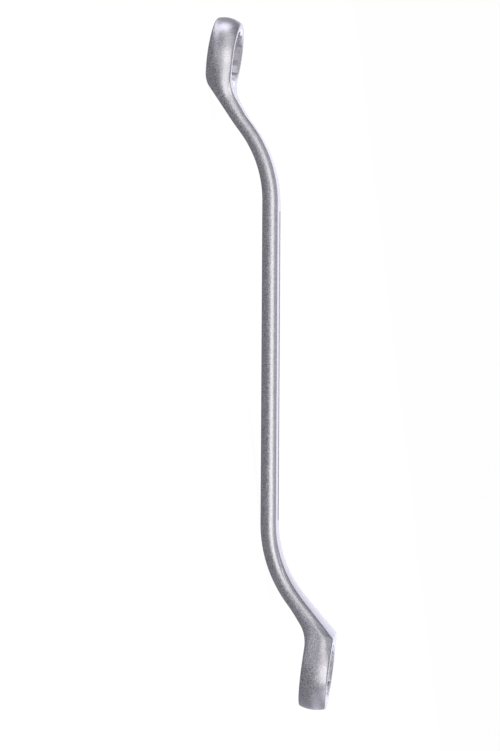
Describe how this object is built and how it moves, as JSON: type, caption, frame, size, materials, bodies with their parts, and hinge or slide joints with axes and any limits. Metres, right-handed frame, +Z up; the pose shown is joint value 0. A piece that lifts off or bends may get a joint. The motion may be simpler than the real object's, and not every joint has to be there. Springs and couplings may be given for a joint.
{
  "type": "double ring spanner",
  "caption": "Satin chrome ring spanner: a flat shank with a cranked neck and an offset bi-hexagon ring head at each end, the heads facing opposite ways.",
  "frame": {"origin": "middle of the footprint of the tool as it lies on a bench, on the bench", "axes": "+X along the tool from the small head to the large head, +Y across the tool, +Z up from the bench"},
  "size_m": [0.338, 0.0384, 0.0288],
  "materials": {
    "satin_chrome": "satin"
  },
  "bodies": {
    "root": {"shank": "satin_chrome", "small_neck": "satin_chrome", "large_neck": "satin_chrome", "small_ring_head": "satin_chrome", "large_ring_head": "satin_chrome"}
  },
  "joints": []
}
